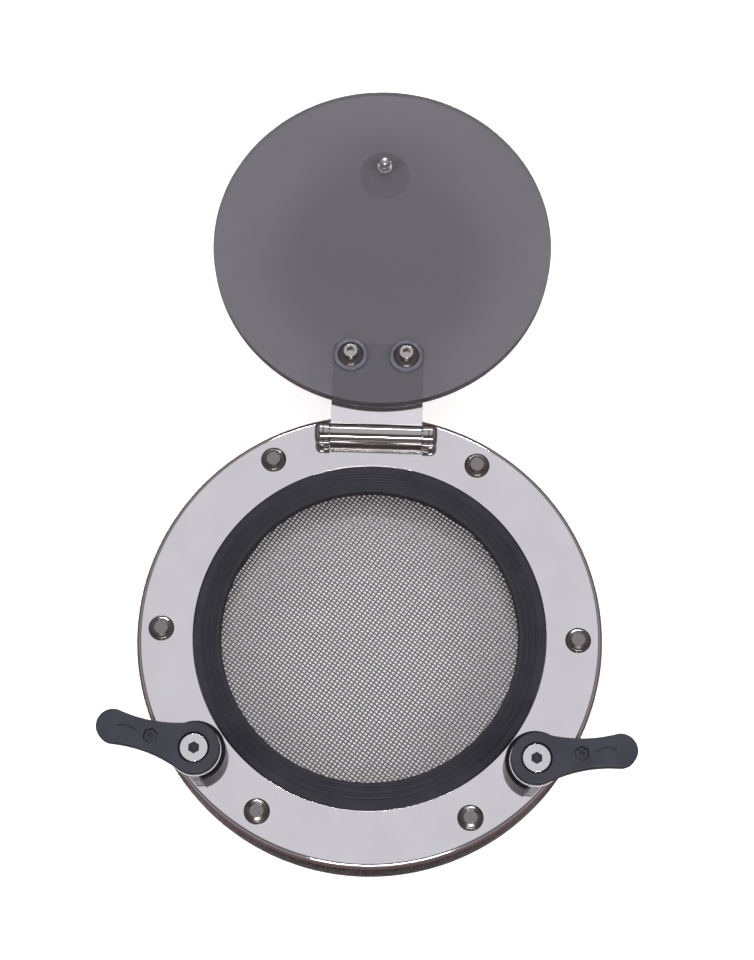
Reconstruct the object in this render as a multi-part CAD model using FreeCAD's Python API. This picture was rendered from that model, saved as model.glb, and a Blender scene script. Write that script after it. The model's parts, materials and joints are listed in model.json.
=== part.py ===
"""Round opening deck hatch: clamped stainless frame, insect screen, hinged smoked lid and two dogs.

Millimetres. Origin: centre of the opening, in the plane of the inner flange's face.
+Z points away from the deck towards the hinged lid, +Y towards the hinge.
The lid is drawn laid fully open, with its sealing face up, and both dogs turned outwards.
"""

import FreeCAD
import Part

import math
import os

from FreeCAD import Vector

# ---- frame -------------------------------------------------------------------------------
RING_OUTER_R = 149.0        # both flanges
FLANGE_T = 4.0              # flange plate thickness
FLANGE_INNER_R = 112.9
EDGE_ROUND = 3.6            # rounded outer edge of each flange
SPIGOT_R_IN = 113.0         # tube that passes through the deck
SPIGOT_R_OUT = 115.6
SPIGOT_END_Z = -41.0
WELD_SEAT = 0.5             # shallow rebate in each flange that seats its tube or collar
TRIM_FACE_Z = -42.0         # the hatch stands on this face
TRIM_T = 4.0
TRIM_COLLAR_R = 118.2
TRIM_INNER_R = 116.0
TRIM_COLLAR_TOP_Z = -28.0

# ---- seal and screen ------------------------------------------------------------------------
CLEAR_R = 95.2              # clear opening inside the seal
LEDGE_R_IN = 98.0
LEDGE_TOP_Z = -5.1
LEDGE_T = 2.5
SEAL_R_OUT = 112.6
SEAL_TOP_Z = 0.6
RIB_H = 0.6
RIB_W = 1.5
RIB_RADII = (98.6, 102.2, 105.8, 109.4)
SCREEN_FRAME_R_IN = 99.0
SCREEN_FRAME_R_OUT = 112.6
SCREEN_TOP_Z = -12.2
SCREEN_T = 0.6
SCREEN_R = 110.5

# ---- frame fasteners --------------------------------------------------------------------------
BOLT_CIRCLE_R = 133.3
BOLT_COUNT = 6
NUT_HEAD_R = 8.25
NUT_HEAD_H = 3.0
NUT_SHANK_R = 4.0
NUT_END_Z = -26.0
SCREW_R = 2.5

# ---- hinge --------------------------------------------------------------------------------------
HINGE_Y = 132.0
HINGE_Z = 9.0
PIN_R = 3.0
PIN_FIT = 0.05              # radial running clearance on the pin
BARREL_R = 6.8
BARREL_HALF = 30.1
EAR_IN = 30.4
EAR_T = 4.0
EAR_R = 7.75
PIN_HEAD_L = 5.6
BASE_T = 1.8
LEAF_T = 1.8
LEAF_HALF = 30.0
LEAF_END_Y = 195.0

# ---- lid ----------------------------------------------------------------------------------------
LID_R = 113.0
LID_T = 9.0
LID_Y = 2 * HINGE_Y         # lid centre when laid fully open
LID_LOW_Z = 7.5             # outer face, turned down when open
LID_TOP_Z = LID_LOW_Z + LID_T
LEAF_SCREW_X = 18.3
LEAF_SCREW_Y = LID_Y - 80.0
KNOB_Y = LID_Y + 56.5
KNOB_R = 17.0

# ---- dogs -----------------------------------------------------------------------------------------
DOG_X = 106.0
DOG_Y = -81.0
FOOT_R = 19.0
FOOT_FLAT = 6.5             # flat outboard side, distance from the pivot
FOOT_TOP_Z = 15.0
WASHER_TOP_Z = 16.6
LEVER_LOW_Z = 17.0
LEVER_TOP_Z = 26.0
LEVER_ROOT_R = 16.0
LEVER_TIP_R = 10.5
LEVER_TIP_X = 52.5
LEVER_WAIST_R = 88.0        # radius of the two hollow flanks
PRESS_X = 28.0              # pressing screw, distance from the pivot
LEFT_LEVER_DEG = 166.5
RIGHT_LEVER_DEG = 7.0

Z_AXIS = Vector(0, 0, 1)


def tube(r_in, r_out, z0, z1, x=0.0, y=0.0):
    """Plain ring or sleeve standing on z0."""
    outer = Part.makeCylinder(r_out, z1 - z0, Vector(x, y, z0), Z_AXIS)
    inner = Part.makeCylinder(r_in, z1 - z0 + 2, Vector(x, y, z0 - 1), Z_AXIS)
    return outer.cut(inner)


def rod(r, z0, z1, x=0.0, y=0.0):
    """Plain upright cylinder."""
    return Part.makeCylinder(r, z1 - z0, Vector(x, y, z0), Z_AXIS)


def turned(points, x=0.0, y=0.0):
    """Solid of revolution about the upright axis through (x, y) from (radius, z) corners."""
    corners = [Vector(r, 0, z) for r, z in points]
    face = Part.Face(Part.makePolygon(corners + [corners[0]]))
    solid = face.revolve(Vector(0, 0, 0), Z_AXIS, 360)
    solid.translate(Vector(x, y, 0))
    return solid


def hex_prism(across_flats, z0, z1, x=0.0, y=0.0, turn_deg=0.0):
    """Upright hexagonal prism."""
    corner = across_flats / math.sqrt(3)
    points = []
    for k in range(7):
        a = math.radians(60 * k + turn_deg)
        points.append(Vector(x + corner * math.cos(a), y + corner * math.sin(a), z0))
    return Part.Face(Part.makePolygon(points)).extrude(Vector(0, 0, z1 - z0))


def round_edges(solid, radius, chosen):
    """Round every edge for which chosen(edge) is true."""
    edges = [e for e in solid.Edges if chosen(e)]
    return solid.makeFillet(radius, edges)


def circle_edge_at(r, z):
    """Chooser for a full circle of radius r at height z."""
    def chosen(edge):
        box = edge.BoundBox
        flat = abs(box.ZMin - z) < 0.01 and abs(box.ZMax - z) < 0.01
        return flat and abs(box.XLength - 2 * r) < 0.05 and abs(box.YLength - 2 * r) < 0.05
    return chosen


def bolt_circle():
    """Centres of the frame bolts, two of them on the X axis."""
    step = 2 * math.pi / BOLT_COUNT
    return [(BOLT_CIRCLE_R * math.cos(k * step), BOLT_CIRCLE_R * math.sin(k * step))
            for k in range(BOLT_COUNT)]


def dog_pivots():
    """Dog pivots: left, then right."""
    return [(-DOG_X, DOG_Y), (DOG_X, DOG_Y)]


# ---- frame parts --------------------------------------------------------------------------------

def inner_flange():
    plate = tube(FLANGE_INNER_R, RING_OUTER_R, -FLANGE_T, 0)
    plate = round_edges(plate, EDGE_ROUND, circle_edge_at(RING_OUTER_R, 0))
    for x, y in bolt_circle():
        plate = plate.cut(rod(NUT_SHANK_R + 0.2, -FLANGE_T - 1, 1, x, y))
    for x in (-18.0, 18.0):
        plate = plate.cut(rod(2.1, -FLANGE_T - 1, 1, x, HINGE_Y))
        cone = Part.makeCone(4.2, 2.1, 2.1, Vector(x, HINGE_Y, -FLANGE_T), Z_AXIS)
        plate = plate.cut(cone)
    for x, y in dog_pivots():
        plate = plate.cut(rod(5.1, -FLANGE_T - 1, 1, x, y))
    seat = tube(FLANGE_INNER_R - 1, SPIGOT_R_OUT + 0.1, -FLANGE_T - 1, WELD_SEAT - FLANGE_T)
    return plate.cut(seat)


def spigot_tube():
    """Tube through the deck, welded into the rebate under the flange."""
    return tube(SPIGOT_R_IN, SPIGOT_R_OUT, SPIGOT_END_Z, WELD_SEAT - FLANGE_T)


def seal_ledge():
    return tube(LEDGE_R_IN, SPIGOT_R_IN - 0.05, LEDGE_TOP_Z - LEDGE_T, LEDGE_TOP_Z)


def lid_seal():
    """Rubber ring with a rolled inner lip and fine ribs on its face."""
    low = LEDGE_TOP_Z + 0.05
    lip = low - LEDGE_T
    half = RIB_W / 2
    profile = [(LEDGE_R_IN - 0.1, low), (LEDGE_R_IN - 0.1, lip), (CLEAR_R + 0.8, lip),
               (CLEAR_R, lip + 0.9), (CLEAR_R, SEAL_TOP_Z - 1.0), (CLEAR_R + 1.0, SEAL_TOP_Z)]
    for r in RIB_RADII:
        profile += [(r - half, SEAL_TOP_Z), (r - half / 2, SEAL_TOP_Z + RIB_H),
                    (r + half / 2, SEAL_TOP_Z + RIB_H), (r + half, SEAL_TOP_Z)]
    profile += [(SEAL_R_OUT - 0.6, SEAL_TOP_Z), (SEAL_R_OUT, SEAL_TOP_Z - 0.6), (SEAL_R_OUT, low)]
    return turned(profile)


def screen_frame_upper():
    return tube(SCREEN_FRAME_R_IN, SCREEN_FRAME_R_OUT, SCREEN_TOP_Z, LEDGE_TOP_Z - LEDGE_T - 0.1)


def insect_screen():
    """The woven wire cloth, as one thin disc of the same size."""
    return rod(SCREEN_R, SCREEN_TOP_Z - SCREEN_T, SCREEN_TOP_Z)


def screen_frame_lower():
    top = SCREEN_TOP_Z - SCREEN_T
    return tube(SCREEN_FRAME_R_IN, SCREEN_FRAME_R_OUT, top - 3.2, top)


def screen_retaining_ring():
    """Split spring ring that holds the screen frame up against the ledge."""
    top = SCREEN_TOP_Z - SCREEN_T - 3.3
    ring = tube(109.0, SPIGOT_R_IN - 0.2, top - 1.6, top)
    gap = Part.makeBox(14, 20, 4, Vector(-7, -120, top - 3))
    for x in (-11.0, 11.0):
        ear = Part.makeBox(8, 6, 1.6, Vector(x - 4, -111.5, top - 1.6))
        ear = ear.fuse(rod(4.0, top - 1.6, top, x, -105.5))
        ring = ring.fuse(ear)
    ring = ring.cut(gap).common(rod(SPIGOT_R_IN - 0.2, top - 2, top + 1))
    for x in (-11.0, 11.0):
        ring = ring.cut(rod(1.4, top - 3, top + 1, x, -105.5))
    return ring.removeSplitter()


def outer_trim_ring():
    """Outer flange, countersunk for the screws that draw it up."""
    low = TRIM_FACE_Z
    plate = tube(TRIM_INNER_R, RING_OUTER_R, low, low + TRIM_T)
    plate = round_edges(plate, EDGE_ROUND, circle_edge_at(RING_OUTER_R, low))
    for x, y in bolt_circle():
        plate = plate.cut(rod(SCREW_R + 0.2, low - 1, low + TRIM_T + 1, x, y))
        cone = Part.makeCone(5.3, SCREW_R + 0.2, 2.7, Vector(x, y, low), Z_AXIS)
        plate = plate.cut(cone)
    seat = tube(TRIM_INNER_R - 1, TRIM_COLLAR_R + 0.1, low + TRIM_T - WELD_SEAT, low + TRIM_T + 1)
    return plate.cut(seat)


def trim_collar():
    """Short collar welded into the outer flange's rebate, which slides over the spigot."""
    low = TRIM_FACE_Z + TRIM_T - WELD_SEAT
    return tube(TRIM_INNER_R, TRIM_COLLAR_R, low, TRIM_COLLAR_TOP_Z)


def barrel_nuts():
    """Low domed heads on threaded sleeves, one at each frame bolt."""
    head = [(0, -6), (2.55, -6), (2.55, NUT_END_Z), (NUT_SHANK_R, NUT_END_Z),
            (NUT_SHANK_R, 0), (NUT_HEAD_R, 0), (NUT_HEAD_R, 0.5), (7.9, 1.15), (7.2, 1.75),
            (6.5, 2.1), (5.9, 2.25), (4.3, NUT_HEAD_H), (0, NUT_HEAD_H)]
    return Part.makeCompound([turned(head, x, y) for x, y in bolt_circle()])


def trim_screws():
    """Countersunk screws that draw the outer flange to the inner one."""
    low = TRIM_FACE_Z
    made = []
    for x, y in bolt_circle():
        body = turned([(0, low + 0.1), (5.0, low + 0.1), (5.0, low + 0.3), (SCREW_R, low + 2.8),
                       (SCREW_R, -8.0), (2.1, -7.4), (0, -7.4)], x, y)
        made.append(body.cut(hex_prism(3.0, low - 1, low + 2.0, x, y)))
    return Part.makeCompound(made)


# ---- hinge parts on the frame -----------------------------------------------------------------

def hinge_ear(x0):
    """Upright ear with a round head about the pin."""
    head = Part.makeCylinder(EAR_R, EAR_T, Vector(x0, HINGE_Y, HINGE_Z), Vector(1, 0, 0))
    leg = Part.makeBox(EAR_T, 2 * EAR_R, HINGE_Z, Vector(x0, HINGE_Y - EAR_R, 0))
    return head.fuse(leg)


def hinge_bracket():
    """Base plate with two ears and, behind the barrel, the stop the open leaf rests on."""
    half = EAR_IN + EAR_T
    base = Part.makeBox(2 * half, 18.0, BASE_T, Vector(-half, HINGE_Y - 8.5, 0))
    stop = Part.makeBox(2 * EAR_IN, 2.0, LID_LOW_Z - LEAF_T - 0.3, Vector(-EAR_IN, HINGE_Y + 7.5, 0))
    body = base.fuse([hinge_ear(-half), hinge_ear(EAR_IN), stop]).removeSplitter()
    pin_hole = Part.makeCylinder(PIN_R + PIN_FIT, 2 * half + 2, Vector(-half - 1, HINGE_Y, HINGE_Z),
                                 Vector(1, 0, 0))
    body = body.cut(pin_hole)
    for x in (-18.0, 18.0):
        body = body.cut(rod(2.05, -1, BASE_T + 1, x, HINGE_Y))
    return body


def hinge_bracket_screws():
    """Countersunk screws up through the flange into the bracket."""
    low = -FLANGE_T
    made = []
    for x in (-18.0, 18.0):
        body = turned([(0, low + 0.1), (3.9, low + 0.1), (2.0, low + 2.1), (2.0, BASE_T - 0.1),
                       (0, BASE_T - 0.1)], x, HINGE_Y)
        made.append(body.cut(hex_prism(2.5, low - 1, low + 1.6, x, HINGE_Y)))
    return Part.makeCompound(made)


def domed_head(x0, direction):
    """Rounded pin head that starts at x0 and swells along +X or -X."""
    r, h = EAR_R, PIN_HEAD_L
    points = [Vector(0, 0, 0), Vector(0, r - 0.4, 0), Vector(0.4, r, 0), Vector(1.6, r, 0)]
    for k in range(1, 9):
        a = math.pi / 2 * k / 8
        points.append(Vector(1.6 + (h - 1.6) * math.sin(a), r * math.cos(a), 0))
    face = Part.Face(Part.makePolygon(points + [points[0]]))
    head = face.revolve(Vector(0, 0, 0), Vector(1, 0, 0), 360)
    if direction < 0:
        head.rotate(Vector(0, 0, 0), Z_AXIS, 180)
    head.translate(Vector(x0, HINGE_Y, HINGE_Z))
    return head


def hinge_pin():
    half = EAR_IN + EAR_T
    shaft = Part.makeCylinder(PIN_R, 2 * half + 2.5, Vector(-half, HINGE_Y, HINGE_Z), Vector(1, 0, 0))
    return shaft.fuse(domed_head(-half, -1)).removeSplitter()


def hinge_pin_cap():
    """Domed cap pressed on the pin's other end."""
    half = EAR_IN + EAR_T
    hole = Part.makeCylinder(PIN_R + PIN_FIT, 3.0, Vector(half - 0.2, HINGE_Y, HINGE_Z),
                             Vector(1, 0, 0))
    return domed_head(half, 1).cut(hole)


# ---- lid parts -----------------------------------------------------------------------------------

def lid_pane():
    pane = rod(LID_R, LID_LOW_Z, LID_TOP_Z, 0, LID_Y)
    pane = pane.makeChamfer(0.7, [e for e in pane.Edges if e.BoundBox.XLength > 200
                                  and e.BoundBox.ZLength < 0.1])
    for x in (-LEAF_SCREW_X, LEAF_SCREW_X):
        pane = pane.cut(rod(6.2, LID_LOW_Z - 1, LID_TOP_Z + 1, x, LEAF_SCREW_Y))
    return pane.cut(rod(2.7, LID_LOW_Z - 1, LID_TOP_Z + 1, 0, KNOB_Y))


def hinge_leaf():
    """Flat leaf on the lid's outer face, rolled into the hinge barrel at its root."""
    low = LID_LOW_Z - LEAF_T
    plate = Part.makeBox(2 * LEAF_HALF, LEAF_END_Y - HINGE_Y - 3, LEAF_T,
                         Vector(-LEAF_HALF, HINGE_Y + 3, low))
    plate = round_edges(plate, 3.0, lambda e: e.BoundBox.ZLength > 1
                        and e.BoundBox.YMin > LEAF_END_Y - 1)
    barrel = Part.makeCylinder(BARREL_R, 2 * BARREL_HALF, Vector(-BARREL_HALF, HINGE_Y, HINGE_Z),
                               Vector(1, 0, 0))
    body = plate.fuse(barrel).removeSplitter()
    bore = Part.makeCylinder(PIN_R + PIN_FIT, 2 * BARREL_HALF + 2,
                             Vector(-BARREL_HALF - 1, HINGE_Y, HINGE_Z), Vector(1, 0, 0))
    body = body.cut(bore)
    for x in (-LEAF_SCREW_X, LEAF_SCREW_X):
        body = body.cut(rod(3.1, low - 1, LID_LOW_Z + 1, x, LEAF_SCREW_Y))
    return body


def leaf_bush(x):
    """Nylon bush through the lid with a raised dish that takes the cup washer."""
    z = LID_TOP_Z
    return turned([(3.1, LID_LOW_Z + 0.1), (6.1, LID_LOW_Z + 0.1), (6.1, z), (11.0, z),
                   (11.0, z + 1.5), (10.4, z + 2.1), (8.6, z + 2.1), (8.3, z + 0.8),
                   (3.1, z + 0.8)], x, LEAF_SCREW_Y)


def cup_washer(x):
    z = LID_TOP_Z + 0.8
    return turned([(3.1, z), (7.9, z), (7.9, z + 0.5), (6.9, z + 1.3), (5.4, z + 1.8),
                   (3.1, z + 1.8)], x, LEAF_SCREW_Y)


def leaf_screw(x):
    """Socket head cap screw down through washer, bush, lid and leaf."""
    z = LID_TOP_Z + 2.6
    body = turned([(0, -1.4), (2.6, -1.4), (3.0, -1.0), (3.0, z), (4.7, z), (4.7, z + 5.6),
                   (4.2, z + 6.2), (0, z + 6.2)], x, LEAF_SCREW_Y)
    return body.cut(hex_prism(5.0, z + 3.0, z + 8.0, x, LEAF_SCREW_Y, 15))


def leaf_nut(x):
    """Domed nut on the outside of the leaf."""
    top = LID_LOW_Z - LEAF_T
    body = hex_prism(10.0, top - 4.6, top, x, LEAF_SCREW_Y, 30)
    dome = turned([(0, top - 9.0), (1.9, top - 8.6), (3.4, top - 7.6), (4.4, top - 6.2),
                   (4.7, top - 4.6), (0, top - 4.6)], x, LEAF_SCREW_Y)
    return body.fuse(dome).cut(rod(3.05, top - 7.3, top + 1, x, LEAF_SCREW_Y))


def pair(make):
    """Left and right copies of a leaf fastener."""
    return Part.makeCompound([make(-LEAF_SCREW_X), make(LEAF_SCREW_X)])


def knob():
    """Black mushroom knob on the lid's outer face, which is turned down when the lid is open."""
    z = LID_LOW_Z
    points = [(2.55, z), (9.0, z), (9.0, z - 2.0), (10.2, z - 3.6), (13.0, z - 5.2),
              (16.2, z - 6.6), (KNOB_R, z - 7.8), (KNOB_R, z - 8.8)]
    for k in range(1, 9):
        a = math.pi / 2 * k / 8
        points.append((KNOB_R * math.cos(a), z - 8.8 - 8.2 * math.sin(a)))
    points[-1] = (0, z - 17.0)
    points += [(0, z - 11.0), (2.55, z - 11.0)]
    return turned(points, 0, KNOB_Y)


def knob_stud():
    return rod(2.5, LID_LOW_Z - 10.5, LID_TOP_Z + 6.5, 0, KNOB_Y)


def knob_washer():
    return tube(2.7, 5.0, LID_TOP_Z, LID_TOP_Z + 1.0, 0, KNOB_Y)


def knob_nut():
    """Acorn nut on the sealing face."""
    z = LID_TOP_Z + 1.0
    body = hex_prism(8.0, z, z + 4.4, 0, KNOB_Y, 20)
    points = [(0, z + 4.4), (3.75, z + 4.4), (3.75, z + 6.2)]
    for k in range(1, 7):
        a = math.pi / 2 * k / 6
        points.append((3.75 * math.cos(a), z + 6.2 + 3.8 * math.sin(a)))
    points[-1] = (0, z + 10.0)
    dome = turned(points, 0, KNOB_Y)
    return body.fuse(dome).cut(rod(2.55, z - 1, z + 7.0, 0, KNOB_Y))


# ---- dog parts -------------------------------------------------------------------------------------

def dog_foot(x, y):
    """D-shaped foot whose flat side runs beside the flange's rim."""
    out = math.atan2(y, x)
    body = rod(FOOT_R, 0, FOOT_TOP_Z)
    body = body.cut(Part.makeBox(60, 80, 40, Vector(FOOT_FLAT, -40, -10)))
    body = round_edges(body, 1.0, lambda e: e.BoundBox.ZMin > FOOT_TOP_Z - 0.1)
    body = body.cut(rod(7.1, -1, FOOT_TOP_Z + 1))
    body.rotate(Vector(0, 0, 0), Z_AXIS, math.degrees(out))
    body.translate(Vector(x, y, 0))
    return body


def dog_post(x, y):
    """Threaded post riveted through the flange, inside the foot."""
    body = rod(5.0, -FLANGE_T + 0.1, 0.5, x, y).fuse(rod(7.0, 0, FOOT_TOP_Z - 0.1, x, y))
    return body.removeSplitter().cut(rod(4.05, 2.0, FOOT_TOP_Z + 1, x, y))


def dog_washer(x, y):
    return tube(4.2, 16.4, FOOT_TOP_Z, WASHER_TOP_Z, x, y)


def dog_bolt(x, y):
    """Flat wide head with a hexagon socket, in the lever's recess."""
    body = turned([(0, 3.0), (4.0, 3.0), (4.0, 22.8), (8.0, 22.8), (8.8, 23.4), (8.8, 24.7),
                   (8.5, 25.0), (0, 25.0)], x, y)
    return body.cut(hex_prism(6.6, 22.0, 26.0, x, y, 30))


def lever_outline():
    """Outline of the lever: two round ends joined by hollow flanks."""
    reach = LEVER_TIP_X
    a, b = LEVER_ROOT_R + LEVER_WAIST_R, LEVER_TIP_R + LEVER_WAIST_R
    s = (reach * reach + a * a - b * b) / (2 * reach)
    h = math.sqrt(a * a - s * s)
    root = (s * LEVER_ROOT_R / a, h * LEVER_ROOT_R / a)
    tip = (reach + (s - reach) * LEVER_TIP_R / b, h * LEVER_TIP_R / b)
    mid_x, mid_y = s, h - LEVER_WAIST_R
    up = Part.Arc(Vector(root[0], root[1], 0), Vector(mid_x, mid_y, 0), Vector(tip[0], tip[1], 0))
    down = Part.Arc(Vector(root[0], -root[1], 0), Vector(mid_x, -mid_y, 0),
                    Vector(tip[0], -tip[1], 0))
    end = Part.Arc(Vector(tip[0], tip[1], 0), Vector(reach + LEVER_TIP_R, 0, 0),
                   Vector(tip[0], -tip[1], 0))
    heel = Part.Arc(Vector(root[0], -root[1], 0), Vector(-LEVER_ROOT_R, 0, 0),
                    Vector(root[0], root[1], 0))
    return Part.Wire(Part.__sortEdges__([c.toShape() for c in (up, end, down, heel)]))


def placed(solid, x, y, angle):
    """Turn about the pivot, then move to it."""
    solid.rotate(Vector(0, 0, 0), Z_AXIS, angle)
    solid.translate(Vector(x, y, 0))
    return solid


def dog_lever(x, y, angle):
    """Flat waisted lever with a recess for the bolt head and a hexagon pocket."""
    body = Part.Face(lever_outline()).extrude(Vector(0, 0, LEVER_TOP_Z - LEVER_LOW_Z))
    body.translate(Vector(0, 0, LEVER_LOW_Z))
    body = round_edges(body, 1.2, lambda e: e.BoundBox.ZMin > LEVER_TOP_Z - 0.1)
    body = body.cut(rod(4.1, LEVER_LOW_Z - 1, LEVER_TOP_Z + 1))
    body = body.cut(rod(9.8, 22.4, LEVER_TOP_Z + 1))
    body = body.cut(hex_prism(8.4, 21.6, LEVER_TOP_Z + 1, PRESS_X, 0, 30))
    body = body.cut(rod(2.6, LEVER_LOW_Z - 1, 22, PRESS_X, 0))
    return placed(body, x, y, angle)


def press_screw(x, y, angle):
    """Hexagon head screw held in the lever's pocket."""
    body = hex_prism(8.0, 21.6, 24.6, PRESS_X, 0, 30).fuse(rod(2.5, 12.6, 22, PRESS_X, 0))
    return placed(body.removeSplitter(), x, y, angle)


def press_pad(x, y, angle):
    """Soft pad under the lever that bears on the closed lid."""
    body = turned([(0, 10.9), (4.8, 10.9), (5.5, 11.6), (5.5, 16.8), (2.55, 16.8), (2.55, 12.4),
                   (0, 12.4)], PRESS_X, 0)
    return placed(body, x, y, angle)


def build():
    """Every node's shape by name."""
    left, right = dog_pivots()
    nodes = {
        "inner_flange": inner_flange(),
        "spigot_tube": spigot_tube(),
        "seal_ledge": seal_ledge(),
        "lid_seal": lid_seal(),
        "screen_frame_upper": screen_frame_upper(),
        "insect_screen": insect_screen(),
        "screen_frame_lower": screen_frame_lower(),
        "screen_retaining_ring": screen_retaining_ring(),
        "outer_trim_ring": outer_trim_ring(),
        "trim_collar": trim_collar(),
        "barrel_nuts": barrel_nuts(),
        "trim_screws": trim_screws(),
        "hinge_bracket": hinge_bracket(),
        "hinge_bracket_screws": hinge_bracket_screws(),
        "hinge_pin": hinge_pin(),
        "hinge_pin_cap": hinge_pin_cap(),
        "dog_foot_left": dog_foot(*left),
        "dog_foot_right": dog_foot(*right),
        "dog_posts": Part.makeCompound([dog_post(*p) for p in (left, right)]),
        "dog_washers": Part.makeCompound([dog_washer(*p) for p in (left, right)]),
        "dog_bolts": Part.makeCompound([dog_bolt(*p) for p in (left, right)]),
        "lid_pane": lid_pane(),
        "hinge_leaf": hinge_leaf(),
        "leaf_bushes": pair(leaf_bush),
        "leaf_cup_washers": pair(cup_washer),
        "leaf_screws": pair(leaf_screw),
        "leaf_nuts": pair(leaf_nut),
        "knob": knob(),
        "knob_stud": knob_stud(),
        "knob_washer": knob_washer(),
        "knob_nut": knob_nut(),
        "dog_lever_left": dog_lever(*left, LEFT_LEVER_DEG),
        "press_screw_left": press_screw(*left, LEFT_LEVER_DEG),
        "press_pad_left": press_pad(*left, LEFT_LEVER_DEG),
        "dog_lever_right": dog_lever(*right, RIGHT_LEVER_DEG),
        "press_screw_right": press_screw(*right, RIGHT_LEVER_DEG),
        "press_pad_right": press_pad(*right, RIGHT_LEVER_DEG),
    }
    return nodes


os.makedirs("parts", exist_ok=True)
for node, shape in build().items():
    print(node, len(shape.Solids), round(shape.Volume, 1), shape.isValid())
    shape.exportStep("parts/" + node + ".step")
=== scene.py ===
"""Round opening deck hatch: the visual model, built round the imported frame.

The frame gives every place; each class below holds one sub-assembly's sizes in
millimetres, shapes its pieces with bmesh operators and dresses them.
"""
import json
import logging
import math
from dataclasses import dataclass, field
from enum import Enum
from typing import Callable, Iterable, Sequence

import bmesh
import bpy
from mathutils import Matrix, Vector


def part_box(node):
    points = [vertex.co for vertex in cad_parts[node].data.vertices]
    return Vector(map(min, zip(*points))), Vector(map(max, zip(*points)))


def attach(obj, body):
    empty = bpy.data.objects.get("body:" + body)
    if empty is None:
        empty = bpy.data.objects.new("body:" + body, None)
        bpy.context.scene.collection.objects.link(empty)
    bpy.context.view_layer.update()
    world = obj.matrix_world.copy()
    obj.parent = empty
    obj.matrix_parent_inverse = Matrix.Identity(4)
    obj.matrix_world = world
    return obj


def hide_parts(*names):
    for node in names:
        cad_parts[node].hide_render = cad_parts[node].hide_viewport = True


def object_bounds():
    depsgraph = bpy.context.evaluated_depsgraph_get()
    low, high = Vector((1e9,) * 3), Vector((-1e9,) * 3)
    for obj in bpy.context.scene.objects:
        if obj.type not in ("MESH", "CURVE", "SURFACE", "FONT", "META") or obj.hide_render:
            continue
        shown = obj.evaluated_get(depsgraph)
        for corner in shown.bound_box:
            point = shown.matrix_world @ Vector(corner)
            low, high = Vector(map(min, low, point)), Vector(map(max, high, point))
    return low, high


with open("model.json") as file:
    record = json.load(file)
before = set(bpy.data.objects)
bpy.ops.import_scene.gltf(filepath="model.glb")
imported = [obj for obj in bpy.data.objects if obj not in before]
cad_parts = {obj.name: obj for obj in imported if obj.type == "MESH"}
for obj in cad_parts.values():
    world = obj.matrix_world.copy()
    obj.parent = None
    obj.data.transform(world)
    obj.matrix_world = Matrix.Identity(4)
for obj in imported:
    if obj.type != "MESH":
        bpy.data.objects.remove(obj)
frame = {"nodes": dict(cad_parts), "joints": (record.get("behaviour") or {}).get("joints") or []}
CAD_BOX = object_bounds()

LOG = logging.getLogger("deck_hatch")
METRE = 1000.0  # millimetres
LEAF_THICK = 1.8
Point = tuple[float, float]
Triple = tuple[float, float, float]
Shape = bmesh.types.BMesh
Edges = list[bmesh.types.BMEdge]
Socket = bpy.types.NodeSocket


class Body(str, Enum):
    """The rigid bodies that pieces ride on."""

    FRAME = "frame"
    LID = "lid"
    LEFT_DOG = "dog_left"
    RIGHT_DOG = "dog_right"


@dataclass(frozen=True)
class Span:
    """A node's box in millimetres, read from the frame."""

    low: Vector
    high: Vector

    @classmethod
    def of(cls, node: str) -> "Span":
        """The box of one node."""
        low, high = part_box(node)
        return cls(Vector(low) * METRE, Vector(high) * METRE)

    @property
    def middle(self) -> Vector:
        """Centre of the box."""
        return (self.low + self.high) / 2

    @property
    def size(self) -> Vector:
        """Edge lengths of the box."""
        return self.high - self.low


# ---- finishes


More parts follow.
